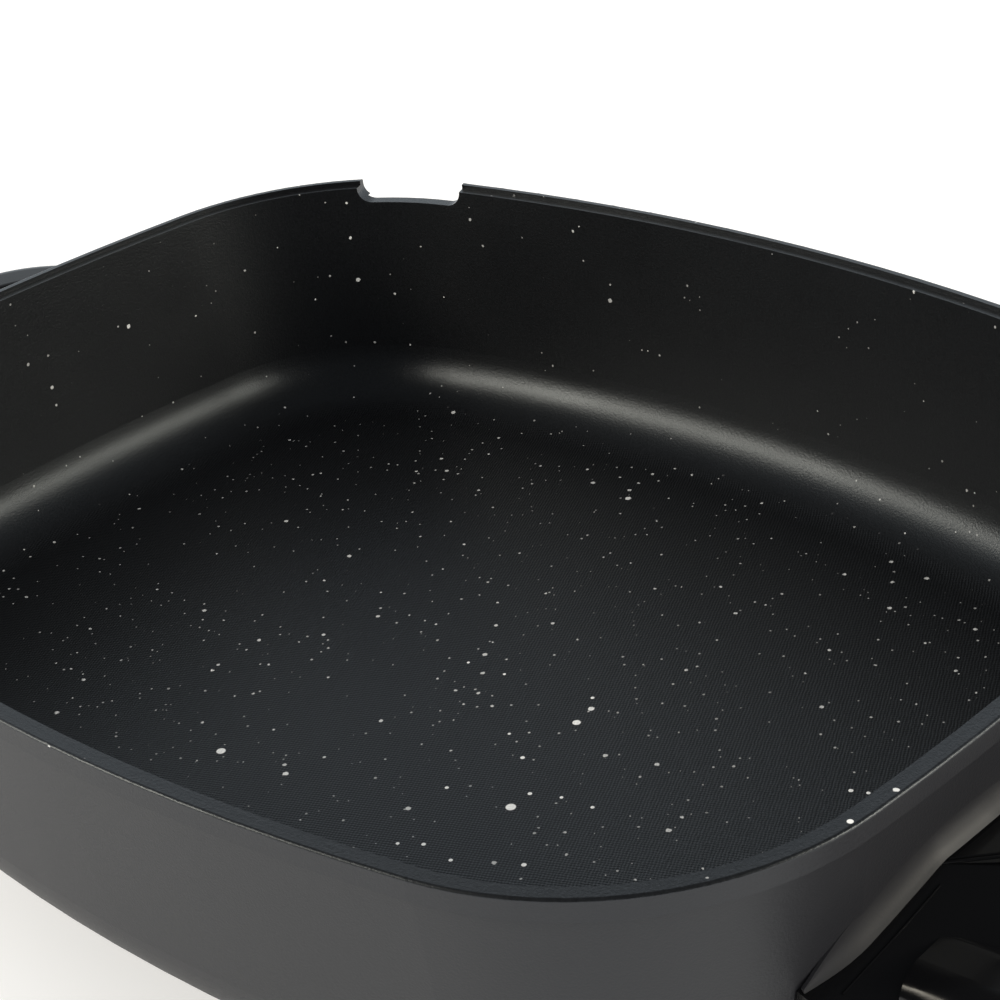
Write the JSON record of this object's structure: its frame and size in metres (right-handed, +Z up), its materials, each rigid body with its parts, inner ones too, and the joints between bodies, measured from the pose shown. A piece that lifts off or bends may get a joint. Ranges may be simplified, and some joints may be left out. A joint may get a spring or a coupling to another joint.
{
  "type": "electric skillet",
  "caption": "Deep rounded-rectangle electric skillet with speckled non-stick inside, end handles on legs and a plug-in temperature control.",
  "frame": {"origin": "middle of the footprint on the table", "axes": "+Z up, +X along the pan towards the temperature control, +Y towards the long wall with the pouring notch"},
  "size_m": [0.548, 0.305, 0.118],
  "materials": {
    "nonstick_coating": "satin black non-stick coating with pale speckles",
    "element_sheath": "dull heat-darkened sheath",
    "bright_steel": "bright plated steel",
    "guard_steel": "black enamelled steel",
    "ceramic": "unglazed ceramic",
    "black_moulding": "glossy black heat-resistant moulding",
    "control_case": "fine-grained black moulding",
    "dial_plastic": "satin black moulding with pale figures",
    "brass_contacts": "plain brass",
    "black_rubber": "matt black rubber",
    "lens_red": "clear red lens"
  },
  "bodies": {
    "skillet": {"pan": "nonstick_coating", "heating_element": "element_sheath", "terminal_pins": "bright_steel", "terminal_beads": "ceramic", "probe_well": "bright_steel", "socket_guard": "guard_steel", "right_handle": "black_moulding", "left_handle": "black_moulding", "right_leg_frame": "black_moulding", "left_leg_frame": "black_moulding", "handle_screws": "bright_steel", "foot_pad_front_right": "black_rubber", "foot_pad_back_right": "black_rubber", "foot_pad_front_left": "black_rubber", "foot_pad_back_left": "black_rubber"},
    "control": {"control_base": "control_case", "control_cover": "control_case", "control_screws": "bright_steel", "contact_sockets": "brass_contacts", "probe_rod": "bright_steel", "thermostat_blade": "brass_contacts", "cord_bushing": "black_rubber", "indicator_lens": "lens_red"},
    "dial": {"control_dial": "dial_plastic", "dial_shaft": "bright_steel"}
  },
  "joints": [
    {"name": "control_slide", "type": "slide", "parent": "skillet", "child": "control", "axis": [1, 0, 0], "range_m": [0, 0.09]},
    {"name": "dial_turn", "type": "hinge", "parent": "control", "child": "dial", "pos_m": [0.2465, 0, 0.028], "axis": [1, 0, 0], "range_deg": [-300, 0]}
  ]
}
